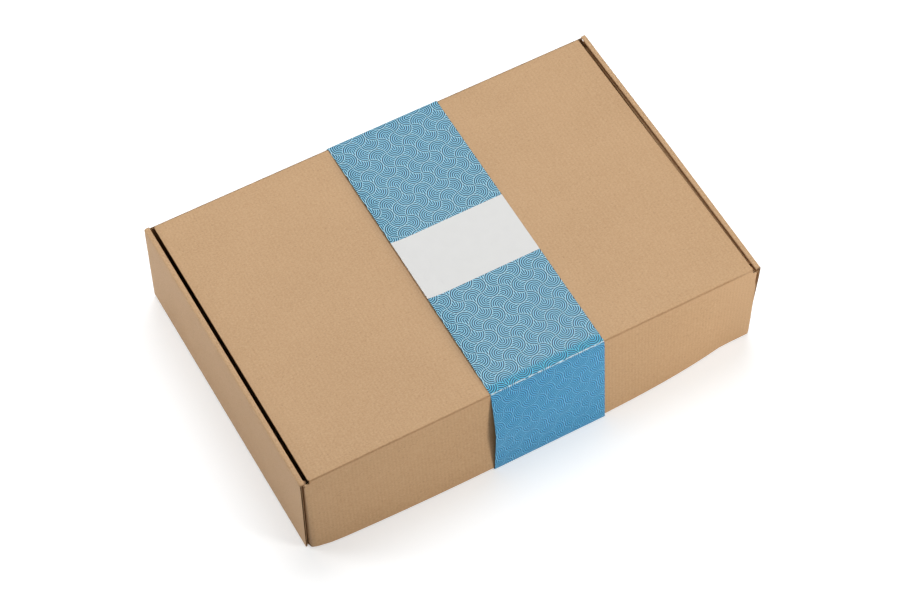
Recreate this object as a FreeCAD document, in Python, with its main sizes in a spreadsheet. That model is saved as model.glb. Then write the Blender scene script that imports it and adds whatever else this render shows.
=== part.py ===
import FreeCAD, Part
import os
import Sketcher
from math import asin, pi

# A shallow mailing box, folded shut from one sheet of kraft corrugated board, with a paper band round it.
# Millimetres. X runs along the box, the rear wall that carries the lid faces -Y, and +Z is up.
# The origin lies on the underside of the band, below the middle of the box.

doc = FreeCAD.newDocument("mailer")

DRIVING_SIZES = [
    # the box as it stands closed
    ("box_length", 452.0),
    ("box_width", 300.0),
    ("box_height", 105.0),
    ("board", 1.5),
    ("board_play", 0.2),
    # side walls, rolled over their own tops
    ("roll_drop", 0.5),
    ("roll_setback", 2.6),
    ("side_setback_top", 1.3),
    ("side_setback_foot", 0.8),
    ("inner_wall_clearance", 1.0),
    ("lock_tab_length", 40.0),
    ("lock_tab_spacing", 150.0),
    ("lock_slot_clearance", 0.3),
    # rear and front walls with their ears
    ("rear_wall_bow", 10.5),
    ("front_wall_drop", 3.0),
    ("ear_depth", 75.0),
    ("ear_drop", 6.0),
    ("ear_lift", 3.0),
    ("ear_taper", 4.0),
    # lid
    ("lid_gap", 3.1),
    ("lid_flap_depth", 48.0),
    ("lid_flap_taper", 14.0),
    ("lid_flap_clearance", 1.0),
    ("tuck_depth", 58.0),
    ("tuck_taper", 12.0),
    # paper band
    ("paper", 0.3),
    ("paper_play", 0.1),
    ("band_width", 112.0),
    ("band_offset", 12.0),
    ("band_stand_off", 2.0),
    ("band_top_round", 3.3),
    ("band_foot_round", 1.2),
    ("lap_length", 25.0),
    ("lap_offset", 40.0),
    ("seam_gap", 0.6),
    # bare field in the band's print
    ("field_length", 67.5),
    ("field_offset", -5.2),
    ("field_depth", 0.1),
]

sheet = doc.addObject("Spreadsheet::Sheet", "sizes")
for row, (alias, value) in enumerate(DRIVING_SIZES, start=1):
    sheet.set(f"A{row}", alias)
    sheet.set(f"B{row}", str(value))
    sheet.setAlias(f"B{row}", alias)
doc.recompute()

X_AXIS = FreeCAD.Vector(1, 0, 0)
Y_AXIS = FreeCAD.Vector(0, 1, 0)
Z_AXIS = FreeCAD.Vector(0, 0, 1)

# Heights and faces that several panels share, as formulas of the sheet.
underside = "(2 * (sizes.paper + sizes.paper_play))"
floor_top = f"({underside} + sizes.board)"
lid_top = f"({underside} + sizes.box_height)"
lid_under = f"({lid_top} - sizes.board)"
roll_under = f"({lid_under} - sizes.roll_drop)"
half_length = "(sizes.box_length / 2)"
half_width = "(sizes.box_width / 2)"
side_inner = f"({half_length} - sizes.board)"
ear_outer = f"({side_inner} - sizes.board_play)"
ear_inner = f"({ear_outer} - sizes.board)"
roll_outer = f"({ear_inner} - sizes.board_play)"
roll_inner = f"({roll_outer} - sizes.board)"
lid_half = f"({roll_inner} - sizes.lid_gap)"
lid_flat_half = f"({lid_half} - sizes.board)"
end_wall_inner = f"({half_width} - sizes.board)"
tuck_inner = f"({end_wall_inner} - sizes.board_play - sizes.board)"
side_foot_span = "(sizes.box_width - 2 * sizes.side_setback_foot)"


def measure(formula):
    """The present value of a formula."""
    return float(sheet.evalExpression(formula))


def place(part, corner, rotation=FreeCAD.Rotation()):
    """Gives a part its fixed turn and ties its corner to the sheet."""
    part.Placement = FreeCAD.Placement(FreeCAD.Vector(), rotation)
    for axis, formula in zip("xyz", corner):
        part.setExpression(f"Placement.Base.{axis}", formula)
    return part


def block(name, size, corner):
    """A flat panel, or a cutter: a box with formulas for its three sizes and its lowest corner."""
    part = doc.addObject("Part::Box", name)
    for side, formula in zip(("Length", "Width", "Height"), size):
        part.setExpression(side, formula)
    return place(part, corner)


def fold(name, length, corner, along, start):
    """A creased fold: a quarter round of board, sharp inside, that turns from a start direction."""
    part = doc.addObject("Part::Cylinder", name)
    part.Angle = 90
    part.setExpression("Radius", "sizes.board")
    part.setExpression("Height", length)
    return place(part, corner, FreeCAD.Rotation(start, along.cross(start), along, "XYZ"))


def tapered(name, base, tip, depth, corner, across, outward):
    """A panel that changes width from crease to tip, given the directions of its width and depth."""
    part = doc.addObject("Part::Wedge", name)
    formulas = {
        "Xmin": f"-{base} / 2",
        "Xmax": f"{base} / 2",
        "X2min": f"-{tip} / 2",
        "X2max": f"{tip} / 2",
        "Ymin": "0",
        "Ymax": depth,
        "Zmin": "0",
        "Zmax": "sizes.board",
        "Z2min": "0",
        "Z2max": "sizes.board",
    }
    for limit, formula in formulas.items():
        part.setExpression(limit, formula)
    return place(part, corner, FreeCAD.Rotation(across, outward, across.cross(outward), "XYZ"))


def fuse(name, parts):
    """One solid, or one group, from several shapes."""
    whole = doc.addObject("Part::MultiFuse", name)
    whole.Shapes = parts
    whole.Refine = True
    return whole


def cut(name, base, tool):
    """A shape with another taken out of it."""
    rest = doc.addObject("Part::Cut", name)
    rest.Base = base
    rest.Tool = tool
    rest.Refine = True
    return rest


def mirrored(name, source, normal):
    """The same shape on the other side of the box's middle plane."""
    copy = doc.addObject("Part::Mirroring", name)
    copy.Source = source
    copy.Normal = normal
    return copy


# Ends of a sketch edge, and a sketch's own origin and upright axis.
START, END, CENTRE = 1, 2, 3
ORIGIN = (-1, 1)
UPRIGHT = -2


def tie(sketch, kind, geometry, formula):
    """Adds a dimension to a sketch and ties it to a formula."""
    index = sketch.addConstraint(Sketcher.Constraint(kind, *geometry, measure(formula)))
    sketch.setExpression(f"Constraints[{index}]", formula)


def line(sketch, first, second):
    """A straight edge of a sketch between two points."""
    return sketch.addGeometry(Part.LineSegment(FreeCAD.Vector(*first, 0), FreeCAD.Vector(*second, 0)))


def link(sketch, first, second):
    """A straight edge that joins the ends of two edges."""
    edge = sketch.addGeometry(Part.LineSegment(sketch.getPoint(*first), sketch.getPoint(*second)))
    sketch.addConstraint(Sketcher.Constraint("Coincident", *first, edge, START))
    sketch.addConstraint(Sketcher.Constraint("Coincident", *second, edge, END))


def centred(sketch, edge, span, height):
    """Centres an edge on the upright axis, with its span and its height as formulas."""
    sketch.addConstraint(Sketcher.Constraint("Symmetric", edge, START, edge, END, UPRIGHT))
    tie(sketch, "DistanceX", (edge, START, edge, END), span)
    tie(sketch, "DistanceY", (*ORIGIN, edge, END), height)


def straight_edge(sketch, height):
    """A straight edge between the ears, at a height of the sketch."""
    reach = measure(ear_inner)
    edge = line(sketch, (-reach, measure(height)), (reach, measure(height)))
    centred(sketch, edge, f"2 * {ear_inner}", height)
    return edge


def bowed_edge(sketch, height):
    """The same edge, bowed towards -Y as the rear wall's foot is."""
    bow_radius = f"(({ear_inner} ^ 2 + sizes.rear_wall_bow ^ 2) / (2 * sizes.rear_wall_bow))"
    radius = measure(bow_radius)
    centre = FreeCAD.Vector(0, measure(height) - sheet.rear_wall_bow + radius, 0)
    spread = asin(measure(ear_inner) / radius)
    circle = Part.Circle(centre, Z_AXIS, radius)
    edge = sketch.addGeometry(Part.ArcOfCircle(circle, 1.5 * pi - spread, 1.5 * pi + spread))
    centred(sketch, edge, f"2 * {ear_inner}", height)
    tie(sketch, "Radius", (edge,), bow_radius)
    return edge


def level_sketch(name, level, near_edge, far_edge):
    """A closed level outline between two edges, with straight sides."""
    sketch = doc.addObject("Sketcher::SketchObject", name)
    sketch.setExpression("Placement.Base.z", level)
    near_maker, near_height = near_edge
    far_maker, far_height = far_edge
    near = near_maker(sketch, near_height)
    far = far_maker(sketch, far_height)
    link(sketch, (near, START), (far, START))
    link(sketch, (near, END), (far, END))
    return sketch


def rear_wall():
    """The rear wall: straight along its top crease and bowed outwards along its foot."""
    wall = doc.addObject("Part::Loft", "rear_wall")
    wall.Sections = [
        level_sketch("rear_wall_foot", underside,
                     (bowed_edge, f"-{half_width}"), (bowed_edge, f"-{end_wall_inner}")),
        level_sketch("rear_wall_top", lid_under,
                     (straight_edge, f"-{half_width}"), (straight_edge, f"-{end_wall_inner}")),
    ]
    wall.Solid = True
    wall.Ruled = True
    return wall


def lock_slots():
    """Cutters at +X for the slots in the floor that take the lock tabs, with clearance all round."""
    clearance = "sizes.lock_slot_clearance"
    return [
        block(f"{name}_lock_slot",
              (f"sizes.board + 2 * {clearance}",
               f"sizes.lock_tab_length + 2 * {clearance}",
               "3 * sizes.board"),
              (f"{roll_inner} - {clearance}",
               f"{way} * sizes.lock_tab_spacing / 2 - sizes.lock_tab_length / 2 - {clearance}",
               f"{underside} - sizes.board"))
        for name, way in (("rear", -1), ("front", 1))
    ]


def floor():
    """The bottom panel: its rear edge follows the rear wall's bowed foot, and its sides are slotted."""
    middle = doc.addObject("Part::Extrusion", "floor_middle")
    middle.Base = level_sketch("floor_outline", underside,
                               (bowed_edge, f"-{half_width} + sizes.board / 2"),
                               (straight_edge, end_wall_inner))
    middle.DirMode = "Custom"
    middle.Dir = Z_AXIS
    middle.Solid = True
    middle.setExpression("LengthFwd", "sizes.board")
    right = block("floor_right", (f"{side_inner} - {ear_inner}", side_foot_span, "sizes.board"),
                  (ear_inner, f"-{side_foot_span} / 2", underside))
    whole = fuse("floor_whole", [middle, right, mirrored("floor_left", right, X_AXIS)])
    slots = fuse("right_slots", lock_slots())
    half_slotted = cut("floor_right_slotted", whole, slots)
    return cut("floor_slotted", half_slotted, mirrored("left_slots", slots, X_AXIS))


def front_wall():
    """The front wall with the fold at its foot."""
    start = f"-{ear_inner}"
    span = f"2 * {ear_inner}"
    return [
        fold("front_foot_fold", span, (start, end_wall_inner, floor_top), X_AXIS, -Z_AXIS),
        block("front_wall", (span, "sizes.board", f"{lid_top} - sizes.front_wall_drop - {floor_top}"),
              (start, end_wall_inner, floor_top)),
    ]


def lid():
    """The lid: hinged on the rear wall's crease, with a tuck flap behind the front wall."""
    start = f"-{lid_flat_half}"
    span = f"(2 * {lid_flat_half})"
    return [
        fold("lid_crease", span, (start, f"-{end_wall_inner}", lid_under), X_AXIS, Z_AXIS),
        block("lid_panel", (span, f"{tuck_inner} + {end_wall_inner}", "sizes.board"),
              (start, f"-{end_wall_inner}", lid_under)),
        fold("tuck_crease", span, (start, tuck_inner, lid_under), X_AXIS, Y_AXIS),
        tapered("tuck_flap", span, f"({span} - 2 * sizes.tuck_taper)", "sizes.tuck_depth",
                ("0", tuck_inner, lid_under), X_AXIS, -Z_AXIS),
    ]


def lid_flap():
    """The lid's side flap at +X, turned down inside the side wall."""
    span = f"({tuck_inner} + {end_wall_inner} - 2 * sizes.lid_flap_clearance)"
    start = f"-{end_wall_inner} + sizes.lid_flap_clearance"
    return [
        fold("lid_flap_crease", span, (lid_flat_half, start, lid_under), Y_AXIS, Z_AXIS),
        tapered("lid_flap", span, f"({span} - 2 * sizes.lid_flap_taper)", "sizes.lid_flap_depth",
                (lid_flat_half, f"{start} + {span} / 2", lid_under), -Y_AXIS, -Z_AXIS),
    ]


def ear(end):
    """The rear wall's ear at +X: it turns round the wall's end and lies inside the double side wall."""
    ear_foot = f"({floor_top} + sizes.ear_lift)"
    height = f"({lid_top} - sizes.ear_drop - {ear_foot})"
    return [
        fold(f"{end}_ear_fold", height, (ear_inner, f"-{end_wall_inner}", ear_foot), Z_AXIS, -Y_AXIS),
        tapered(f"{end}_ear", height, f"({height} - 2 * sizes.ear_taper)", "sizes.ear_depth",
                (ear_inner, f"-{end_wall_inner}", f"{ear_foot} + {height} / 2"), -Z_AXIS, Y_AXIS),
    ]


def side_wall():
    """The side wall at +X: outer panel, rolled top and inner panel, with tabs that lock into the floor."""
    top_span = "(sizes.box_width - 2 * sizes.side_setback_top)"
    roll_span = "(sizes.box_width - 2 * sizes.roll_setback)"
    inner_span = f"(2 * ({tuck_inner} - sizes.inner_wall_clearance))"
    inner_foot = f"({floor_top} + sizes.board_play)"
    return [
        fold("side_foot_fold", side_foot_span, (side_inner, f"-{side_foot_span} / 2", floor_top),
             Y_AXIS, X_AXIS),
        tapered("side_outer_panel", side_foot_span, top_span, f"({roll_under} - {floor_top})",
                (side_inner, "0", floor_top), Y_AXIS, Z_AXIS),
        fold("roll_outer_fold", roll_span, (side_inner, f"-{roll_span} / 2", roll_under), Y_AXIS, Z_AXIS),
        block("roll_strip", (f"{side_inner} - {roll_outer}", roll_span, "sizes.board"),
              (roll_outer, f"-{roll_span} / 2", roll_under)),
        fold("roll_inner_fold", roll_span, (roll_outer, f"-{roll_span} / 2", roll_under), Y_AXIS, -X_AXIS),
        block("side_inner_panel", ("sizes.board", inner_span, f"{roll_under} - {inner_foot}"),
              (roll_inner, f"-{inner_span} / 2", inner_foot)),
    ] + [
        block(f"{name}_lock_tab", ("sizes.board", "sizes.lock_tab_length", f"{inner_foot} - {underside}"),
              (roll_inner, f"{way} * sizes.lock_tab_spacing / 2 - sizes.lock_tab_length / 2", underside))
        for name, way in (("rear", -1), ("front", 1))
    ]


def mailer_box():
    """The whole folded sheet as one solid."""
    rear_ear = fuse("rear_ear_right", ear("rear"))
    front_ear = mirrored("front_ear_right", rear_ear, Y_AXIS)
    right = fuse("right_end", side_wall() + lid_flap() + [rear_ear, front_ear])
    left = mirrored("left_end", right, X_AXIS)
    return fuse("mailer_box", [floor(), rear_wall()] + front_wall() + lid() + [right, left])


def band_path():
    """The inside line of the paper band, seen along the box: it rounds the lid's far edge and hangs free
    of the rear wall from the crease down."""
    sketch = doc.addObject("Sketcher::SketchObject", "band_path")
    sketch.Placement = FreeCAD.Placement(FreeCAD.Vector(), FreeCAD.Rotation(Y_AXIS, Z_AXIS, X_AXIS, "XYZ"))
    sketch.setExpression("Placement.Base.x", "sizes.band_offset - sizes.band_width / 2")
    top = f"({lid_top} + sizes.paper_play)"
    front = f"({half_width} + sizes.paper_play)"
    foot = "sizes.paper"
    crease = f"({half_width} + sizes.paper_play)"
    hang = f"({half_width} + sizes.rear_wall_bow + sizes.band_stand_off)"
    top_round = "sizes.band_top_round"
    foot_round = "sizes.band_foot_round"
    top_z, front_y, foot_z, crease_y, hang_y = (measure(size) for size in (top, front, foot, crease, hang))
    top_r = measure(top_round)
    foot_r = measure(foot_round)

    def corner(across, up, radius, first_angle):
        """A quarter round of the path about a centre."""
        circle = Part.Circle(FreeCAD.Vector(across, up, 0), Z_AXIS, radius)
        return sketch.addGeometry(Part.ArcOfCircle(circle, first_angle, first_angle + pi / 2))

    over_lid = line(sketch, (front_y - top_r, top_z), (-crease_y, top_z))
    far_round = corner(front_y - top_r, top_z - top_r, top_r, 0)
    down_front = line(sketch, (front_y, foot_z + foot_r), (front_y, top_z - top_r))
    front_foot = corner(front_y - foot_r, foot_z + foot_r, foot_r, 1.5 * pi)
    under_box = line(sketch, (foot_r - hang_y, foot_z), (front_y - foot_r, foot_z))
    rear_foot = corner(foot_r - hang_y, foot_z + foot_r, foot_r, pi)
    rise = top_z - foot_z - foot_r
    lean = hang_y - crease_y
    hang_r = (rise ** 2 + lean ** 2) / (2 * lean)
    hang_circle = Part.Circle(FreeCAD.Vector(hang_r - hang_y, foot_z + foot_r, 0), Z_AXIS, hang_r)
    down_rear = sketch.addGeometry(Part.ArcOfCircle(hang_circle, pi - asin(rise / hang_r), pi))

    for first, second in (((rear_foot, END), (under_box, START)), ((under_box, END), (front_foot, START)),
                          ((front_foot, END), (down_front, START)), ((down_front, END), (far_round, START)),
                          ((far_round, END), (over_lid, START)), ((down_rear, END), (rear_foot, START))):
        sketch.addConstraint(Sketcher.Constraint("Tangent", *first, *second))
    sketch.addConstraint(Sketcher.Constraint("Coincident", over_lid, END, down_rear, START))
    sketch.addConstraint(Sketcher.Constraint("Horizontal", over_lid))
    sketch.addConstraint(Sketcher.Constraint("Vertical", down_front))
    sketch.addConstraint(Sketcher.Constraint("Horizontal", under_box))
    # the hanging side stands upright where it meets the foot's round
    sketch.addConstraint(Sketcher.Constraint("Horizontal", rear_foot, CENTRE, rear_foot, START))
    tie(sketch, "DistanceY", (*ORIGIN, over_lid, END), top)
    tie(sketch, "DistanceX", (over_lid, END, *ORIGIN), crease)
    tie(sketch, "DistanceX", (*ORIGIN, down_front, END), front)
    tie(sketch, "DistanceY", (*ORIGIN, under_box, START), foot)
    tie(sketch, "DistanceX", (rear_foot, START, *ORIGIN), hang)
    tie(sketch, "Radius", (far_round,), top_round)
    tie(sketch, "Radius", (front_foot,), foot_round)
    tie(sketch, "Radius", (rear_foot,), foot_round)
    return sketch


def belly_band(field):
    """The band: a strip wrapped round, its ends glued in a lap below the box, less the bare field."""
    start = "sizes.band_offset - sizes.band_width / 2"
    section = doc.addObject("Part::Offset2D", "band_section")
    section.Source = band_path()
    section.Fill = True
    section.setExpression("Value", "sizes.paper")
    loop = doc.addObject("Part::Extrusion", "band_loop")
    loop.Base = section
    loop.DirMode = "Custom"
    loop.Dir = X_AXIS
    loop.Solid = True
    loop.setExpression("LengthFwd", "sizes.band_width")
    lap = block("band_lap", ("sizes.band_width", "sizes.lap_length", "sizes.paper"),
                (start, "sizes.lap_offset", "sizes.paper"))
    seam = block("band_seam", ("sizes.band_width", "sizes.seam_gap", "sizes.paper"),
                 (start, "sizes.lap_offset + sizes.lap_length / 2", "0"))
    return cut("belly_band", cut("band_with_seam", fuse("band_with_lap", [loop, lap]), seam), field)


def white_field():
    """The bare field of the band's print, flush with the band's face on the lid."""
    return block("white_field", ("sizes.band_width", "sizes.field_length", "sizes.field_depth"),
                 ("sizes.band_offset - sizes.band_width / 2", "sizes.field_offset - sizes.field_length / 2",
                  f"{lid_top} + sizes.paper_play + sizes.paper - sizes.field_depth"))


field = white_field()
pieces = [mailer_box(), belly_band(field), field]
for piece in pieces:
    piece.Label = piece.Name
doc.recompute()

failed = [thing.Name for thing in doc.Objects if "Invalid" in thing.State or "Error" in thing.State]
if failed:
    raise RuntimeError(f"these objects failed: {failed}")
for piece in pieces:
    if piece.Shape.isNull() or not piece.Shape.isValid() or len(piece.Shape.Solids) != 1:
        raise RuntimeError(f"{piece.Label} isn't one valid solid")

os.makedirs("parts", exist_ok=True)
for piece in pieces:
    piece.Shape.exportStep(os.path.join("parts", f"{piece.Label}.step"))
    box = piece.Shape.BoundBox
    corners = (box.XMin, box.XMax, box.YMin, box.YMax, box.ZMin, box.ZMax)
    print(piece.Label, round(piece.Shape.Volume), [round(corner, 2) for corner in corners])
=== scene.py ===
import bmesh
import bpy
from math import cos, hypot, pi, radians, sin
from mathutils import Matrix, Vector


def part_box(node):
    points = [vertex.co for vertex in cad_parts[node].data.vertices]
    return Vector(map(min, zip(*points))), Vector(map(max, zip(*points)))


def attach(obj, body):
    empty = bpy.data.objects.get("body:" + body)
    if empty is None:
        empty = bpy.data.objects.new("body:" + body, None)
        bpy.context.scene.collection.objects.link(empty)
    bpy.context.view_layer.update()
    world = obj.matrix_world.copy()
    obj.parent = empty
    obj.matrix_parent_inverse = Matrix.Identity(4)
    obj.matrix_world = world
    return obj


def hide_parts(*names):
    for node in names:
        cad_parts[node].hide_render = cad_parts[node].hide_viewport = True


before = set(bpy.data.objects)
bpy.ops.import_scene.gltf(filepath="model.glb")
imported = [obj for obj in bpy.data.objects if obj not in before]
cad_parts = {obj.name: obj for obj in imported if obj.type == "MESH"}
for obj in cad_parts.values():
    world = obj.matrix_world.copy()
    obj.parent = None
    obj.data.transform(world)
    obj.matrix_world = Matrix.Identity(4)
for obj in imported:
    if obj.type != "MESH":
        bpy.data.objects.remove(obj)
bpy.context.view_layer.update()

# The mailer's main run of board: floor, rear wall, lid with its tuck and side flaps, front wall.
# It is E-flute corrugated board with brown kraft liners, die-cut flat as one sheet, creased where
# it folds, and folded up by hand. No glue, tape or staple holds it.

box_low, box_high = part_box("mailer_box")
board = 0.0015
underside = box_low.z
lid_top = box_high.z
side_face = box_high.x
front_face = box_high.y
crease_radius = 0.0019
lid_side_round = 0.0009
lid_half_width = side_face - 0.0084 - lid_side_round
roll_inner_face = side_face - 0.0049
slot_inner_side = roll_inner_face - 0.0003
wall_half_width = side_face - 0.0042
slot_outer_side = side_face - 0.0032
panel_foot_end = 0.1504
panel_end = 0.1500
roll_end = 0.1496
slot_near, slot_far = 0.0547, 0.0953
ear_low, ear_high = 0.0053, 0.0998
shoulder_top = lid_top - crease_radius
shoulder_low = shoulder_top - 0.0022
shoulder_start = lid_half_width + 0.0006
floor_side = side_face - crease_radius
wall_foot = front_face - crease_radius
foot_height = underside + crease_radius
front_wall_top = lid_top - 0.003
lid_front = 0.1464
lid_flap_depth = 0.048
lid_flap_taper = 0.014
tuck_depth = 0.058
tuck_taper = 0.012
ear_depth = 0.075
ear_taper = 0.004
ear_fold = 0.0009
ear_root = 0.0085
up, down = Vector((0, 0, 1)), Vector((0, 0, -1))
forward, backward = Vector((0, 1, 0)), Vector((0, -1, 0))
right, left = Vector((1, 0, 0)), Vector((-1, 0, 0))
hair = 0.00002


def select(kind, inside):
    """Selects the vertices, edges or faces in edit mode whose corners all pass a test."""
    bpy.ops.mesh.select_mode(type={"verts": "VERT", "edges": "EDGE", "faces": "FACE"}[kind])
    bpy.ops.mesh.select_all(action="DESELECT")
    sheet = bpy.context.edit_object.data
    mesh = bmesh.from_edit_mesh(sheet)
    for item in getattr(mesh, kind):
        corners = [item] if kind == "verts" else item.verts
        item.select_set(all(inside(corner.co) for corner in corners))
    mesh.select_flush_mode()
    bmesh.update_edit_mesh(sheet)


def pull(move, steps=1):
    """Extrudes the selection by a move, in equal steps."""
    for _ in range(steps):
        bpy.ops.mesh.extrude_region_move(TRANSFORM_OT_translate={"value": move / steps})


def fold(radius, first, second, steps=4):
    """Extrudes the selection round a fold that turns from one direction to another."""
    done = Vector((0, 0, 0))
    for step in range(1, steps + 1):
        turn = pi / 2 * step / steps
        place = radius * (first * sin(turn) + second * (1 - cos(turn)))
        pull(place - done)
        done = place


def narrow(about, x=1.0, y=1.0, z=1.0):
    """Scales the selection about a point."""
    bpy.ops.transform.resize(value=(x, y, z), center_override=about)


def tapered_pull(move, steps, about, **ends):
    """Extrudes the selection by a move in steps, while it narrows to a share of its width."""
    for step in range(steps):
        pull(move / steps)
        ratios = {}
        for axis, share in ends.items():
            now = 1 + (share - 1) * step / steps
            ratios[axis] = (1 + (share - 1) * (step + 1) / steps) / now
        narrow(about, **ratios)


def cut_line(place, direction):
    """Adds a line of edges to the whole mesh where a plane crosses it."""
    bpy.ops.mesh.select_all(action="SELECT")
    bpy.ops.mesh.bisect(plane_co=place, plane_no=direction)


def apply_modifier(piece, kind, **settings):
    """Adds a modifier with its settings and applies it."""
    modifier = piece.modifiers.new(kind.title(), kind)
    for name, value in settings.items():
        setattr(modifier, name, value)
    bpy.context.view_layer.objects.active = piece
    bpy.ops.object.modifier_apply(modifier=modifier.name)


def start_grid(name, columns, rows, width, depth, place):
    """A flat grid at its size and place, named, in edit mode."""
    bpy.ops.object.select_all(action="DESELECT")
    bpy.ops.mesh.primitive_grid_add(x_subdivisions=columns, y_subdivisions=rows, size=1)
    piece = bpy.context.object
    piece.name = name
    piece.data.name = name
    bpy.ops.object.mode_set(mode="EDIT")
    bpy.ops.mesh.select_all(action="SELECT")
    bpy.ops.transform.resize(value=(width, depth, 1), center_override=(0, 0, 0))
    bpy.ops.transform.translate(value=place)
    return piece


def near(value, target):
    """Whether a coordinate is at a place."""
    return abs(value - target) < hair


# the floor, widened past the lock slots to the side folds
box_sheet = start_grid("mailer_box_sheet", 36, 24, 2 * lid_half_width, 2 * wall_foot,
                       (0, 0, underside))
column_stops = [lid_half_width, shoulder_start, slot_inner_side, wall_half_width,
                slot_outer_side, floor_side]
for side in (right, left):
    for stop, next_stop in zip(column_stops, column_stops[1:]):
        select("edges", lambda at: near(at.x, side.x * stop))
        pull(side * (next_stop - stop))
for slot_line in (-slot_far, -slot_near, slot_near, slot_far):
    cut_line((0, slot_line, 0), (0, 1, 0))
select("faces", lambda at: slot_inner_side - hair < abs(at.x) < slot_outer_side + hair
       and slot_near - hair < abs(at.y) < slot_far + hair)
bpy.ops.mesh.delete(type="FACE")

# the front wall and the rear wall, folded up from the floor's ends
for end, top in ((forward, front_wall_top), (backward, shoulder_top)):
    select("edges", lambda at: near(at.y, end.y * wall_foot)
           and abs(at.x) < wall_half_width + hair)
    fold(crease_radius, end, up)
    pull(up * (ear_low - foot_height))
    pull(up * (ear_high - ear_low), steps=9)
    pull(up * (top - ear_high))

# the ears, folded in from the ends of both walls to lie inside the side walls
for end in (forward, backward):
    for side in (right, left):
        select("edges", lambda at: near(at.x, side.x * wall_half_width)
               and near(at.y, end.y * front_face)
               and ear_low - hair < at.z < ear_high + hair)
        turned_in = 0 if end == forward else 0.0026 if side == left else 0.0008
        straight_run = 0.001 if end == forward else 0.0045
        fold(ear_fold, side, -end)
        pull(-end * straight_run - side * turned_in)
        pull(-end * (ear_root - straight_run) + side * (turned_in + board))
        tapered_pull(-end * (ear_depth - ear_root - ear_fold), 5, (0, 0, (ear_low + ear_high) / 2),
                     z=1 - 2 * ear_taper / (ear_high - ear_low))


# the rear wall's foot stands out past its straight top crease, and turns in at its left corner
bow_middle = -0.06
most_bow = 0.0107
left_bow_drop = 0.0044
right_bow_run, left_bow_run = 0.255, 0.1628
corner_run = 0.022
bow_start, floor_bow_run = -0.128, 0.018


def foot_bow(x):
    """How far the rear wall's foot stands out, in metres."""
    if x > bow_middle:
        return most_bow * max(0, 1 - ((x - bow_middle) / right_bow_run) ** 4)
    corner_share = min(1, max(0, x + wall_half_width + 0.0004) / corner_run) ** 0.26
    return (most_bow - left_bow_drop * ((x - bow_middle) / left_bow_run) ** 2) * corner_share


select("verts", lambda at: at.y < bow_start)
bpy.ops.object.mode_set(mode="OBJECT")
for vertex in box_sheet.data.vertices:
    if vertex.select:
        depth_share = min(1, (bow_start - vertex.co.y) / floor_bow_run)
        height_share = max(0, (shoulder_top - vertex.co.z) / (shoulder_top - underside))
        vertex.co.y -= foot_bow(vertex.co.x) * depth_share * min(1, height_share)
        if near(vertex.co.z, shoulder_top) and abs(vertex.co.x) > shoulder_start - hair:
            vertex.co.z = shoulder_low
bpy.ops.object.mode_set(mode="EDIT")

# the lid, folded back from the rear wall's top, then its tuck and its side flaps
select("edges", lambda at: near(at.z, shoulder_top) and abs(at.x) < lid_half_width + hair)
fold(crease_radius, up, forward, steps=6)
pull(forward * (lid_front + wall_foot), steps=25)
fold(crease_radius, forward, down)
tapered_pull(down * (tuck_depth - crease_radius), 5, (0, 0, 0),
             x=1 - tuck_taper / lid_half_width)
for side in (right, left):
    select("edges", lambda at: near(at.z, lid_top) and near(at.x, side.x * lid_half_width))
    fold(lid_side_round, side, down)
    tapered_pull(down * (lid_flap_depth - lid_side_round) - side * 0.010, 5,
                 (0, (lid_front - wall_foot) / 2, 0),
                 y=1 - 2 * lid_flap_taper / (lid_front + wall_foot))

# the side walls, folded up from the floor's sides, rolled over the ears and locked in the slots
outer_roll, inner_roll = 0.0016, 0.001
inner_panel_end = 0.140
lock_near, lock_far = 0.055, 0.095
under_rim = 0.0009
rim_slope, rim_height, rim_return = 0.0005, 0.0028, 0.0012
floor_clearance = 0.0002
roll_top = lid_top - 0.0005
for side in (right, left):
    select("edges", lambda at: near(at.x, side.x * floor_side))
    fold(crease_radius, side, up)
    narrow((0, 0, 0), y=panel_foot_end / wall_foot)
    tapered_pull(up * (roll_top - outer_roll - foot_height), 9, (0, 0, 0),
                 y=panel_end / panel_foot_end)
    narrow((0, 0, 0), y=roll_end / panel_end)
    fold(outer_roll, up, -side)
    pull(-side * (side_face - roll_inner_face - outer_roll - inner_roll))
    fold(inner_roll, -side, down)
for end_line in (-inner_panel_end, inner_panel_end):
    cut_line((0, end_line, 0), (0, 1, 0))
for side in (right, left):
    select("edges", lambda at: near(at.x, side.x * roll_inner_face)
           and near(at.z, roll_top - inner_roll) and abs(at.y) < inner_panel_end + hair)
    pull(down * rim_slope + side * under_rim)
    pull(down * rim_height)
    pull(down * rim_return - side * under_rim)
    done_height = inner_roll + rim_slope + rim_height + rim_return
    pull(down * (roll_top - done_height - underside - board - floor_clearance), steps=9)
for lock_line in (-lock_far, -lock_near, lock_near, lock_far):
    cut_line((0, lock_line, 0), (0, 1, 0))
select("edges", lambda at: near(abs(at.x), roll_inner_face)
       and near(at.z, underside + board + floor_clearance)
       and lock_near - hair < abs(at.y) < lock_far + hair)
pull(down * (board + floor_clearance))

bpy.ops.mesh.select_all(action="SELECT")
bpy.ops.mesh.normals_make_consistent(inside=False)
bpy.ops.object.mode_set(mode="OBJECT")


def right_way_out(piece, outward):
    """Turns a sheet's faces over if the one nearest to a direction's far end faces inwards."""
    outermost = max(piece.data.polygons, key=lambda face: face.center.dot(outward))
    if outermost.normal.dot(outward) < 0:
        piece.data.flip_normals()


right_way_out(box_sheet, up)
apply_modifier(box_sheet, "SOLIDIFY", thickness=board, offset=-1, use_even_offset=True)

# cut edges across the flutes stand open: the core is sunk between the two liners, and the sunk face
# takes the dark medium as painted shade for the hollow flutes
liner = 0.0002
core_depth = 0.0032
shoulder_core_depth = 0.0014


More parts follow.
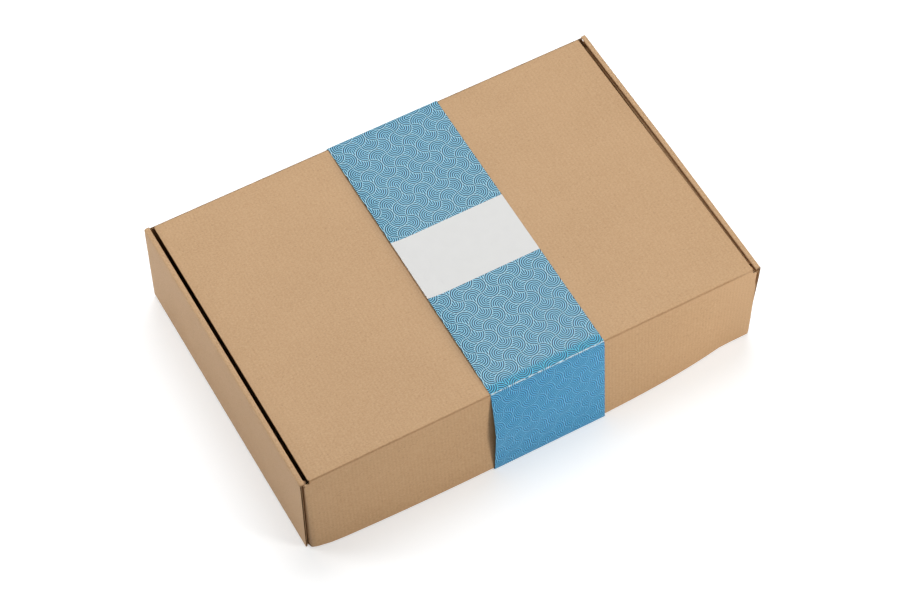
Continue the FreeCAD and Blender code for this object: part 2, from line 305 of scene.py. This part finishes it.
def sink_core(outward, inside, depth=core_depth):
    """Sinks the middle of the cut edges that face one way, past their two liners."""
    bpy.ops.object.mode_set(mode="EDIT")
    bpy.ops.mesh.select_mode(type="FACE")
    bpy.ops.mesh.select_all(action="DESELECT")
    mesh = bmesh.from_edit_mesh(box_sheet.data)
    for face in mesh.faces:
        face.select_set(face.normal.dot(outward) > 0.9 and inside(face.calc_center_median()))
    bmesh.update_edit_mesh(box_sheet.data)
    bpy.ops.mesh.inset(thickness=liner, use_even_offset=True)
    # the sunk middle is coloured dark brown: painted shade for the hollows behind it
    mesh = bmesh.from_edit_mesh(box_sheet.data)
    for face in mesh.faces:
        if face.select:
            face.material_index = 1
    bmesh.update_edit_mesh(box_sheet.data)
    pull(outward * -depth)
    bpy.ops.object.mode_set(mode="OBJECT")


for end in (forward, backward):
    sink_core(end, lambda at: abs(at.x) > slot_outer_side
              and end.y * at.y > panel_foot_end - 0.001)
sink_core(up, lambda at: at.y > inner_panel_end and near(at.z, front_wall_top))
for side in (right, left):
    sink_core(up, lambda at: at.y < -inner_panel_end and near(at.z, shoulder_low)
              and side.x * at.x > shoulder_start, depth=shoulder_core_depth)

# the corrugated medium between the liners, seen in those open edges: waves 3.38 mm long
flute_pitch = 0.00338
wave_depth = 0.00042
steps_per_flute = 8
medium_thickness = 0.00016
ribbon_margin = 0.0003


def corrugate(name, path, inward, reach=core_depth):
    """A ribbon of medium along a path of (place, sideways direction) pairs, just inside an edge."""
    ribbon = start_grid(name, len(path) - 1, 1, len(path) - 1, 1, (0, 0, 0))
    bpy.ops.object.mode_set(mode="OBJECT")
    for vertex in ribbon.data.vertices:
        column = round(vertex.co.x + (len(path) - 1) / 2)
        spot, sideways = path[column]
        sway = wave_depth * sin(2 * pi * column / steps_per_flute)
        depth = reach / 4 if vertex.co.y < 0 else reach
        vertex.co = spot + sideways * sway + inward * depth
    bpy.ops.object.select_all(action="DESELECT")
    ribbon.select_set(True)
    bpy.context.view_layer.objects.active = ribbon
    apply_modifier(ribbon, "SOLIDIFY", thickness=medium_thickness, offset=0)
    return ribbon


def straight_path(start, end, sideways):
    """Places along a straight line, eight to a flute."""
    count = round((end - start).length / flute_pitch * steps_per_flute)
    return [(start.lerp(end, step / count), sideways) for step in range(count + 1)]


def side_path(side, end):
    """Places up a side wall's end and across its roll, eight to a flute."""
    half = board / 2
    outer_x, inner_x = side_face - half, roll_inner_face + half
    top_z = roll_top - half
    foot = Vector((side.x * outer_x, end.y * panel_foot_end, underside + 0.002))
    shoulder = Vector((side.x * outer_x, end.y * panel_end, top_z - 0.001))
    path = straight_path(foot, shoulder, side)
    path += straight_path(Vector((side.x * (outer_x - 0.0006), end.y * roll_end, top_z)),
                          Vector((side.x * (inner_x + 0.0008), end.y * roll_end, top_z)), up)
    return path


ribbons = []
for side in (right, left):
    for end in (forward, backward):
        ribbons.append(corrugate("medium_in_side_wall", side_path(side, end), -end))
    wall_middle = board / 2 - front_face
    inner_end = Vector((side.x * (shoulder_start + ribbon_margin), wall_middle, shoulder_low))
    outer_end = Vector((side.x * (wall_half_width - ribbon_margin), wall_middle, shoulder_low))
    ribbons.append(corrugate("medium_in_rear_wall", straight_path(inner_end, outer_end, forward),
                             down, reach=shoulder_core_depth))
right_end = Vector((wall_half_width - ribbon_margin, front_face - board / 2, front_wall_top))
left_end = right_end * Vector((-1, 1, 1))
ribbons.append(corrugate("medium_in_front_wall", straight_path(left_end, right_end, forward), down))


def linear(colour):
    """An sRGB hex colour as linear red, green, blue and alpha."""
    levels = [int(colour[place:place + 2], 16) / 255 for place in (1, 3, 5)]
    return [level / 12.92 if level <= 0.04045 else ((level + 0.055) / 1.055) ** 2.4
            for level in levels] + [1.0]


def add(tree, kind, inputs=(), **settings):
    """Adds a node and gives its outputs. The settings are its properties. The inputs are values or
    other nodes' outputs, in a list in the sockets' order or in a dictionary by socket."""
    new = tree.nodes.new(kind)
    for name, value in settings.items():
        setattr(new, name, value)
    for socket, value in inputs.items() if isinstance(inputs, dict) else enumerate(inputs):
        if isinstance(value, bpy.types.NodeSocket):
            tree.links.new(value, new.inputs[socket])
        else:
            new.inputs[socket].default_value = value
    return new.outputs


def new_material(name):
    """An empty node material with a shader, and its tree and shader."""
    material = bpy.data.materials.new(name)
    material.use_nodes = True
    return material, material.node_tree, material.node_tree.nodes["Principled BSDF"]


# Kraft linerboard: unbleached pulp, pressed smooth and left uncoated, so it is matt. Fibres lie
# along the rolling direction, and the flutes show through as faint stripes, 3.38 mm apart.
kraft, tree, shader = new_material("kraft_linerboard")
place = add(tree, "ShaderNodeTexCoord")["Object"]
axes = add(tree, "ShaderNodeSeparateXYZ", [place])

# the stripes follow x on the flat panels, and go on over the folds up the side walls
from_middle = add(tree, "ShaderNodeMath", [axes["X"]], operation="ABSOLUTE")[0]
on_side = add(tree, "ShaderNodeMath", [from_middle, 0.2195], operation="GREATER_THAN")[0]
up_side = add(tree, "ShaderNodeMath", [axes["Z"], from_middle], operation="SUBTRACT")[0]
across = add(tree, "ShaderNodeMix", {0: on_side, 2: axes["X"], 3: up_side})[0]
turn = add(tree, "ShaderNodeMath", [across, 2 * pi / flute_pitch], operation="MULTIPLY")[0]
flute_wave = add(tree, "ShaderNodeMath", [turn], operation="SINE")[0]
striped = add(tree, "ShaderNodeMath", [flute_wave, 0.03, 0.03], operation="MULTIPLY_ADD")[0]

# clouds 45 mm across, flecks 2 mm apart, and fibres 1 mm wide and 2 mm long. Real fibres are
# finer, and are drawn this coarse to show.
clouds = add(tree, "ShaderNodeTexNoise", {"Vector": place, "Scale": 22.0, "Detail": 4.0})["Fac"]
cloudy = add(tree, "ShaderNodeMapRange", {"Value": clouds, "From Min": 0.3, "From Max": 0.7})[0]
drawn_out = add(tree, "ShaderNodeMapping", {"Vector": place, "Scale": (0.55, 1.0, 1.0)})[0]
fibres = add(tree, "ShaderNodeTexNoise",
             {"Vector": drawn_out, "Scale": 1000.0, "Detail": 4.0})["Fac"]
fibrous = add(tree, "ShaderNodeMapRange",
              {"Value": fibres, "From Min": 0.35, "From Max": 0.70, "To Max": 0.55})[0]
flecks = add(tree, "ShaderNodeTexNoise", {"Vector": place, "Scale": 520.0, "Detail": 1.0})["Fac"]
flecked = add(tree, "ShaderNodeMapRange",
              {"Value": flecks, "From Min": 0.62, "From Max": 0.76, "To Max": 0.28})[0]

# painted shade: the crease between the rear wall and the lid is darkened over a run of 3.6 mm; a
# little of it is the real darkening of crushed fibres
crease_run = add(tree, "ShaderNodeMath", [axes["Y"], axes["Z"]], operation="ADD")[0]
past_crease = add(tree, "ShaderNodeMath", [crease_run, front_face - lid_top], operation="ADD")[0]
off_crease = add(tree, "ShaderNodeMath", [past_crease], operation="ABSOLUTE")[0]
by_crease = add(tree, "ShaderNodeMapRange",
                {"Value": off_crease, "From Min": 0.0004, "From Max": 0.0018,
                 "To Min": 0.4, "To Max": 0.0})[0]
at_top = add(tree, "ShaderNodeMath", [axes["Z"], lid_top - 0.004], operation="GREATER_THAN")[0]
crease_shade = add(tree, "ShaderNodeMath", [by_crease, at_top], operation="MULTIPLY")[0]

tone = add(tree, "ShaderNodeMix", {0: cloudy, 6: linear("#bd966c"), 7: linear("#c29b71")},
           data_type="RGBA")[2]
# the crease's brown, last in this list, is painted shade
for share, colour in ((fibrous, "#d5b48c"), (flecked, "#8f6c4a"), (striped, "#8a6a4c"),
                      (crease_shade, "#8e6842")):
    tone = add(tree, "ShaderNodeMix", {0: share, 6: tone, 7: linear(colour)},
               data_type="RGBA")[2]
tree.links.new(tone, shader.inputs["Base Color"])
shader.inputs["Roughness"].default_value = 0.62
relief = add(tree, "ShaderNodeMath", [flute_wave, -0.5, fibres], operation="MULTIPLY_ADD")[0]
bump = add(tree, "ShaderNodeBump", {"Strength": 0.25, "Distance": 0.00012, "Height": relief})[0]
tree.links.new(bump, shader.inputs["Normal"])

# Corrugated medium: recycled pulp, rougher than the liners, in clumps of 1.4 mm. Its dark brown is
# partly the pulp's own darker tone and partly painted shade for the hollows of the open flutes.
medium_and_shade, tree, shader = new_material("recycled_medium_and_painted_shade")
place = add(tree, "ShaderNodeTexCoord")["Object"]
pulp = add(tree, "ShaderNodeTexNoise", {"Vector": place, "Scale": 700.0, "Detail": 3.0})["Fac"]
tone = add(tree, "ShaderNodeMix", {0: pulp, 6: linear("#4a3220"), 7: linear("#664832")},
           data_type="RGBA")[2]
tree.links.new(tone, shader.inputs["Base Color"])
shader.inputs["Roughness"].default_value = 0.9

for piece in [box_sheet] + ribbons:
    piece.data.materials.append(kraft)
    piece.data.materials.append(medium_and_shade)
# the ribbons take the medium's dark brown, which is partly painted shade
for ribbon in ribbons:
    for face in ribbon.data.polygons:
        face.material_index = 1
bpy.ops.object.select_all(action="DESELECT")
for ribbon in ribbons:
    ribbon.select_set(True)
box_sheet.select_set(True)
bpy.context.view_layer.objects.active = box_sheet
bpy.ops.object.join()


# The box has settled: its right wall leans out and stands back at its rear foot, and the lid and
# the hinge crease lie nearer to that wall at the rear. The crease itself is pressed in.
most_lean = 0.0012
foot_setback = 0.0055
lid_shift, lid_turn = 0.0008, 0.0014
hinge_shift = 0.0022
corner_shift = 0.0015
lid_edge = 0.2175
pressed_depth, pressed_run = 0.00025, 0.0006


def settled(at):
    """Where a point of the folded box lies once the box has settled."""
    x, y, z = at
    height = min(1, max(0, z / roll_top))
    if x > roll_inner_face - 0.001 and not (z > shoulder_top - 0.001 and x < roll_inner_face):
        if x > slot_outer_side - 0.001 or z > ear_high:
            x += most_lean * height * min(1, max(0, (0.13 - y) / 0.12))
    if at.x > slot_outer_side and y < -0.12:
        y += foot_setback * (1 - height) * min(1, (-0.12 - y) / 0.03)
    # the rear wall's right half, then the lid's top, then the lid's side flap
    if 0 < x < wall_half_width + 0.001 and y < -0.1474 and z < shoulder_top + hair:
        foot_shift = corner_shift * min(1, max(0, (x - 0.205) / 0.0168))
        top_shift = hinge_shift * x / lid_edge
        if x > shoulder_start + hair:
            past_lid = (x - shoulder_start) / 0.0045
            top_shift = hinge_shift - (hinge_shift - corner_shift) * past_lid
        rise = min(1, max(0, (z - 0.085) / (shoulder_low - 0.085)))
        x += foot_shift + (top_shift - foot_shift) * rise
    elif abs(x) < lid_edge + 0.001 and z > shoulder_top - 0.0001 and y > -0.1502:
        x += max(0, x) / lid_edge * (lid_shift - lid_turn * (y / 0.15))
    elif 0.2 < x < lid_edge + 0.001 and z > 0.05 and abs(y) < 0.147:
        x += lid_shift - lid_turn * (y / 0.15)
    if y < -0.1475 and z > shoulder_top and abs(x) < shoulder_start:
        pressed = max(0, 1 - abs((lid_top - z) - (y + front_face)) / pressed_run)
        y += pressed_depth * pressed
        z -= pressed_depth * pressed
    return x, y, z


for vertex in box_sheet.data.vertices:
    vertex.co = settled(vertex.co)
bpy.ops.object.shade_smooth_by_angle(angle=radians(40))

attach(box_sheet, "root")
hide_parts("mailer_box")

# The belly band: one strip of white 0.3 mm paper, printed in one blue, slid round the closed box.
# Its ends lap underneath. It is creased sharp over the rear edge, where the print has worn white,
# rolls softly over the front edge and hangs free of the rear wall.

band_low, band_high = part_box("belly_band")
paper = 0.0003
paper_top = band_high.z
hang_top = -0.1502
hang_foot = -0.1617
foot_round = 0.0015
front_round = 0.0036
rear_crease = -0.1489
field_near, field_far = -0.03895, 0.02855
lap_start, lap_step, lap_end = 0.040, 0.062, 0.064
lap_rise = 0.004
first_pull = 0.011
band_width = band_high.x - band_low.x
band_middle = (band_low.x + band_high.x) / 2

band = start_grid("belly_band", 16, 1, band_width, first_pull,
                  (band_middle, lap_start + first_pull / 2, paper))
select("edges", lambda at: near(at.y, lap_start + first_pull))
pull(forward * (lap_step - lap_start - first_pull))
pull(Vector((0, lap_rise, -paper)))
pull(forward * (band_high.y - foot_round - lap_step - lap_rise), steps=6)
fold(foot_round, forward, up)
pull(up * (paper_top - front_round - foot_round), steps=9)
fold(front_round, up, backward, steps=8)
lid_stops = [0.13, 0.112, 0.094, 0.076, 0.058, 0.042, field_far]
lid_stops += [field_far - (field_far - field_near) * step / 6 for step in range(1, 7)]
lid_stops += [-0.052, -0.066, -0.08, -0.094, -0.108, -0.122, -0.136, rear_crease]
reach = band_high.y - front_round
for stop in lid_stops:
    pull(backward * (reach - stop))
    reach = stop


slope_start = 0.050
slope_rise = 0.0546


def hang(z):
    """Where the hanging paper stands at a height: it slopes out at its top, then hangs upright."""
    slope_share = max(0, (z - slope_start) / slope_rise) ** 1.3
    return hang_foot + (hang_top - hang_foot) * min(1, slope_share)


# over the crease in three short runs, then down to the foot and back along underneath
hanging_rows = 16
slope_height = paper_top - 0.0016
pull(Vector((0, -0.0006, -0.0002)))
pull(Vector((0, -0.0004, -0.0005)))
pull(Vector((0, hang(slope_height) - rear_crease + 0.0010, -0.0009)))
height = slope_height
for step in range(1, hanging_rows + 1):
    lower = slope_height + (foot_round - slope_height) * step / hanging_rows
    pull(Vector((0, hang(lower) - hang(height), lower - height)))
    height = lower
fold(foot_round, down, forward)
pull(forward * (lap_end - hang_foot - foot_round), steps=12)
bpy.ops.object.mode_set(mode="OBJECT")

# the strip's own measure: across its width, and along its length from the lid's middle
columns_across = 17
corners = band.data.vertices
first_row = [index for index in range(2 * columns_across)
             if near(corners[index].co.y, lap_start)]
later_rows = [index for index in range(len(corners)) if index not in first_row]
lengths = {index: 0.0 for index in first_row}
run = 0.0
last = corners[first_row[0]].co.copy()
for start in range(0, len(later_rows), columns_across):
    row = later_rows[start:start + columns_across]
    spot = corners[row[0]].co.copy()
    run += hypot(spot.y - last.y, spot.z - last.z)
    last = spot
    for index in row:
        lengths[index] = run
field_run = min(length for index, length in lengths.items()
                if near(corners[index].co.y, field_far) and corners[index].co.z > 0.1)
strip_map = band.data.uv_layers.new(name="strip")
for loop in band.data.loops:
    spot = band.data.vertices[loop.vertex_index].co
    along = field_far - (lengths[loop.vertex_index] - field_run)
    strip_map.data[loop.index].uv = (spot.x, along)

# the left edge curls up a little from the lid, and the hanging end is a little askew
foot_skew = 0.0015
edge_lift, edge_run = 0.0022, 0.02
lid_reach = 0.147
for vertex in band.data.vertices:
    if vertex.co.y < hang_top or vertex.co.z < paper / 2:
        vertex.co.x -= foot_skew * (1 - vertex.co.z / paper_top)
    if vertex.co.y < hang_top - 0.0002 and vertex.co.z > foot_round:
        share = (vertex.co.x - band_low.x) / band_width
        straight = hang_foot + (hang_top - hang_foot) * (vertex.co.z - foot_round) / paper_top
        vertex.co.y += (straight - hang(vertex.co.z)) * max(0, min(1, share))
    edge_share = max(0.0, 1 - (vertex.co.x - band_low.x) / edge_run)
    if vertex.co.z > 0.1 and abs(vertex.co.y) < lid_reach:
        vertex.co.z += edge_lift * edge_share ** 2 * (1 - (vertex.co.y / lid_reach) ** 8)

bpy.ops.object.mode_set(mode="EDIT")
bpy.ops.mesh.select_all(action="SELECT")
bpy.ops.mesh.normals_make_consistent(inside=False)
bpy.ops.object.mode_set(mode="OBJECT")
right_way_out(band, up)
bpy.ops.object.mode_set(mode="EDIT")
select("faces", lambda at: field_near - hair < at.y < field_far + hair and at.z > 0.1)
bpy.ops.mesh.separate(type="SELECTED")
bpy.ops.object.mode_set(mode="OBJECT")
field = next(piece for piece in bpy.context.selected_objects if piece != band)
field.name = "bare_field"
field.data.name = "bare_field"
for piece in (band, field):
    bpy.ops.object.select_all(action="DESELECT")
    piece.select_set(True)
    apply_modifier(piece, "SOLIDIFY", thickness=paper, offset=-1, use_even_offset=True)
    bpy.ops.object.shade_smooth_by_angle(angle=radians(40))

# Printed paper: white uncoated stock, printed in two blues, with a slight sheen from the ink. Its
# fans of arcs are 17.25 mm wide and 17.38 mm deep, and turn by a quarter from one to the next.
printed, tree, shader = new_material("printed_uncoated_paper")
strip = add(tree, "ShaderNodeUVMap", uv_map="strip")[0]
strip_axes = add(tree, "ShaderNodeSeparateXYZ", [strip])
fan_numbers = []
fan_places = []
for axis, start, fan_size in (("X", 0.00025, 0.01725), ("Y", 0.0145, 0.01738)):
    past_start = add(tree, "ShaderNodeMath", [strip_axes[axis], start], operation="SUBTRACT")[0]
    fans = add(tree, "ShaderNodeMath", [past_start, fan_size], operation="DIVIDE")[0]
    fan_numbers.append(add(tree, "ShaderNodeMath", [fans], operation="FLOOR")[0])
    inside_fan = add(tree, "ShaderNodeMath", [fans], operation="FRACT")[0]
    fan_places.append(add(tree, "ShaderNodeMath", [inside_fan, 2.0, -1.0],
                          operation="MULTIPLY_ADD")[0])
fan_count = add(tree, "ShaderNodeMath", fan_numbers, operation="ADD")[0]
parity = add(tree, "ShaderNodeMath", [fan_count, 2.0], operation="FLOORED_MODULO")[0]
turned = add(tree, "ShaderNodeMath", [parity, 0.5], operation="GREATER_THAN")[0]
fan_side = add(tree, "ShaderNodeMix", {0: turned, 2: fan_places[0], 3: fan_places[1]})[0]
fan_long = add(tree, "ShaderNodeMix", {0: turned, 2: fan_places[1], 3: fan_places[0]})[0]

# each fan has arcs about its two edges' middles, and straight lines along its stem
from_stem = add(tree, "ShaderNodeMath", [fan_side], operation="ABSOLUTE")[0]
from_edge = add(tree, "ShaderNodeMath", [1.0, from_stem], operation="SUBTRACT")[0]
edge_square = add(tree, "ShaderNodeMath", [from_edge, from_edge], operation="MULTIPLY")[0]
long_square = add(tree, "ShaderNodeMath", [fan_long, fan_long], operation="MULTIPLY")[0]
square = add(tree, "ShaderNodeMath", [edge_square, long_square], operation="ADD")[0]
from_centre = add(tree, "ShaderNodeMath", [square], operation="SQRT")[0]
in_fan = add(tree, "ShaderNodeMath", [from_centre, 1.0], operation="LESS_THAN")[0]
ring = add(tree, "ShaderNodeMix", {0: in_fan, 2: from_stem, 3: from_centre})[0]
rings = add(tree, "ShaderNodeMath", [ring, 4.5], operation="MULTIPLY")[0]
ring_phase = add(tree, "ShaderNodeMath", [rings], operation="FRACT")[0]
past_line = add(tree, "ShaderNodeMath", [ring_phase, 0.5], operation="SUBTRACT")[0]
off_line = add(tree, "ShaderNodeMath", [past_line], operation="ABSOLUTE")[0]
off_arc = add(tree, "ShaderNodeMapRange",
              {"Value": off_line, "From Min": 0.18, "From Max": 0.24})[0]
past_outline = add(tree, "ShaderNodeMath", [from_centre, 1.0], operation="SUBTRACT")[0]
off_outline = add(tree, "ShaderNodeMath", [past_outline], operation="ABSOLUTE")[0]
off_edge = add(tree, "ShaderNodeMapRange",
               {"Value": off_outline, "From Min": 0.015, "From Max": 0.035})[0]

# uneven ink in patches of 17 mm. On the hanging end, and underneath too, the blues are lighter and
# closer together: painted sheen for how the light falls on the hanging paper.
patches = add(tree, "ShaderNodeTexNoise", {"Vector": strip, "Scale": 60.0, "Detail": 4.0})["Fac"]
painted_sheen_share = add(tree, "ShaderNodeMapRange",
              {"Value": strip_axes["Y"], "From Min": -0.1485, "From Max": -0.1515})[0]
underneath = add(tree, "ShaderNodeMath", [strip_axes["Y"], 0.255], operation="GREATER_THAN")[0]
painted_sheen_share = add(tree, "ShaderNodeMath", [painted_sheen_share, underneath], operation="MAXIMUM")[0]
ink = add(tree, "ShaderNodeMix", {0: patches, 6: linear("#003a5c"), 7: linear("#004266")},
          data_type="RGBA")[2]
ink = add(tree, "ShaderNodeMix", {0: painted_sheen_share, 6: ink, 7: linear("#006098")},
          data_type="RGBA")[2]
arc = add(tree, "ShaderNodeMix", {0: painted_sheen_share, 6: linear("#88d2ee"), 7: linear("#5abfec")},
          data_type="RGBA")[2]
outline = add(tree, "ShaderNodeMix", {0: painted_sheen_share, 6: linear("#b0e0f0"), 7: linear("#74c8f0")},
              data_type="RGBA")[2]
colour = add(tree, "ShaderNodeMix", {0: off_arc, 6: arc, 7: ink}, data_type="RGBA")[2]
colour = add(tree, "ShaderNodeMix", {0: off_edge, 6: outline, 7: colour}, data_type="RGBA")[2]

# painted shade: the last 10 mm before the crease, where the paper bends away from the light, are
# darkened
bend_shade_ramp = add(tree, "ShaderNodeMapRange",
              {"Value": strip_axes["Y"], "From Min": -0.1385, "From Max": -0.143})[0]
on_lid = add(tree, "ShaderNodeMath", [strip_axes["Y"], rear_crease], operation="GREATER_THAN")[0]
bend_shade = add(tree, "ShaderNodeMath", [bend_shade_ramp, on_lid], operation="MULTIPLY")[0]
colour = add(tree, "ShaderNodeMix", {0: bend_shade, 6: colour, 7: (0.22, 0.86, 0.98, 1)},
             data_type="RGBA", blend_type="MULTIPLY")[2]

# the crease has worn down to white paper, in scuffs 3 mm long
past_crease = add(tree, "ShaderNodeMath", [strip_axes["Y"], rear_crease - 0.0006],
                  operation="SUBTRACT")[0]
off_crease = add(tree, "ShaderNodeMath", [past_crease], operation="ABSOLUTE")[0]
by_crease = add(tree, "ShaderNodeMapRange",
                {"Value": off_crease, "From Min": 0.0003, "From Max": 0.0009,
                 "To Min": 0.9, "To Max": 0.0})[0]
scuffs = add(tree, "ShaderNodeTexNoise", {"Vector": strip, "Scale": 300.0, "Detail": 2.0})["Fac"]
scuffed = add(tree, "ShaderNodeMapRange",
              {"Value": scuffs, "From Min": 0.38, "From Max": 0.62})[0]
worn = add(tree, "ShaderNodeMath", [by_crease, scuffed], operation="MULTIPLY")[0]
colour = add(tree, "ShaderNodeMix", {0: worn, 6: colour, 7: linear("#dcebf2")},
             data_type="RGBA")[2]
tree.links.new(colour, shader.inputs["Base Color"])
shader.inputs["Roughness"].default_value = 0.5

# Bare paper: the same stock without ink, matt and white, with soft patches of 11 mm.
bare, tree, shader = new_material("bare_uncoated_paper")
strip = add(tree, "ShaderNodeUVMap", uv_map="strip")[0]
patches = add(tree, "ShaderNodeTexNoise", {"Vector": strip, "Scale": 90.0, "Detail": 5.0})["Fac"]
colour = add(tree, "ShaderNodeMix", {0: patches, 6: linear("#dadbdb"), 7: linear("#e0e1e1")},
             data_type="RGBA")[2]
tree.links.new(colour, shader.inputs["Base Color"])
shader.inputs["Roughness"].default_value = 0.6

for piece, node, finish, slot in ((band, "belly_band", printed, "printed_paper"),
                                  (field, "white_field", bare, "bare_paper")):
    piece.data.materials.append(finish)
    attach(piece, "root")
    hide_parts(node)

# The studio: a white paper sweep under the box, even fill from all round, a wide softbox overhead
# and two smaller ones, low on the right in front and on the left behind.

bpy.ops.object.select_all(action="DESELECT")
bpy.ops.mesh.primitive_plane_add(size=12, location=(0, 0, 0))
studio_floor = bpy.context.object
studio_floor.name = "studio_floor"

# To the camera, and in reflections, the sweep shows a painted glow as well as its shaded colour:
# the glow is 0.475 out to 0.5 m from the middle and rises to full white at 1.1 m, so the floor is
# darker near the box.
paper_sweep, tree, shader = new_material("white_paper_sweep")
shader.inputs["Base Color"].default_value = linear("#d4d4d4")
shader.inputs["Roughness"].default_value = 0.9
shaded = add(tree, "ShaderNodeBsdfDiffuse", {"Color": (0.75, 0.78, 0.81, 1)})[0]
place = add(tree, "ShaderNodeTexCoord")["Object"]
distance = add(tree, "ShaderNodeVectorMath", [place], operation="LENGTH")["Value"]
painted_glow_level = add(tree, "ShaderNodeMapRange",
                {"Value": distance, "From Min": 0.5, "From Max": 1.1,
                 "To Min": 0.475, "To Max": 1.0})[0]
glow = add(tree, "ShaderNodeEmission", {"Color": (1, 1, 1, 1), "Strength": painted_glow_level})[0]
seen = add(tree, "ShaderNodeAddShader", [shaded, glow])[0]
ray = add(tree, "ShaderNodeLightPath")
direct = ray["Is Camera Ray"]
for other_ray in ("Is Glossy Ray", "Is Transmission Ray"):
    direct = add(tree, "ShaderNodeMath", [direct, ray[other_ray]], operation="MAXIMUM")[0]
either = add(tree, "ShaderNodeMixShader", [direct, shader.outputs[0], seen])[0]
tree.links.new(either, tree.nodes["Material Output"].inputs["Surface"])
studio_floor.data.materials.append(paper_sweep)

world = bpy.data.worlds.new("studio_fill")
bpy.context.scene.world = world
world.use_nodes = True
fill = world.node_tree.nodes["Background"]
fill.inputs["Color"].default_value = (1, 1, 1, 1)
fill.inputs["Strength"].default_value = 0.2


def softbox(name, place, width, energy, colour):
    """A round softbox that faces the box."""
    data = bpy.data.lights.new(name, "AREA")
    data.shape = "DISK"
    data.size = width
    data.energy = energy
    data.color = colour
    lamp = bpy.data.objects.new(name, data)
    bpy.context.collection.objects.link(lamp)
    lamp.location = place
    lamp.rotation_euler = (-Vector(place)).to_track_quat("-Z", "Y").to_euler()


softbox("overhead_softbox", (0.38, 0.68, 1.88), 1.3, 24, (1, 1, 1))
softbox("right_front_softbox", (0.75, -1.12, 0.48), 0.5, 10.4, (1, 0.95, 0.88))
softbox("left_rear_softbox", (-1.3, 0.8, 0.7), 0.7, 10.1, (1, 0.975, 0.94))

# The camera stands over the rear-left of the box, about 2.5 m away, with a long lens.
azimuth, elevation, roll = radians(-28.65), radians(56.25), radians(-0.44)
towards = Vector((sin(azimuth) * cos(elevation), -cos(azimuth) * cos(elevation), sin(elevation)))
level = Vector((cos(azimuth), sin(azimuth), 0))
upright = towards.cross(level)
across_view = cos(roll) * level + sin(roll) * upright
up_view = cos(roll) * upright - sin(roll) * level
eye = 2.54385 * towards - 0.000765 * across_view + 0.01269 * up_view + 0.0008 * up
camera_data = bpy.data.cameras.new("camera")
camera_data.sensor_width = 36
camera_data.lens = 111.94
camera = bpy.data.objects.new("camera", camera_data)
bpy.context.collection.objects.link(camera)
facing = Matrix((across_view, up_view, towards)).transposed().to_4x4()
camera.matrix_world = Matrix.Translation(eye) @ facing
bpy.context.scene.camera = camera

bpy.context.scene.view_settings.view_transform = "Standard"
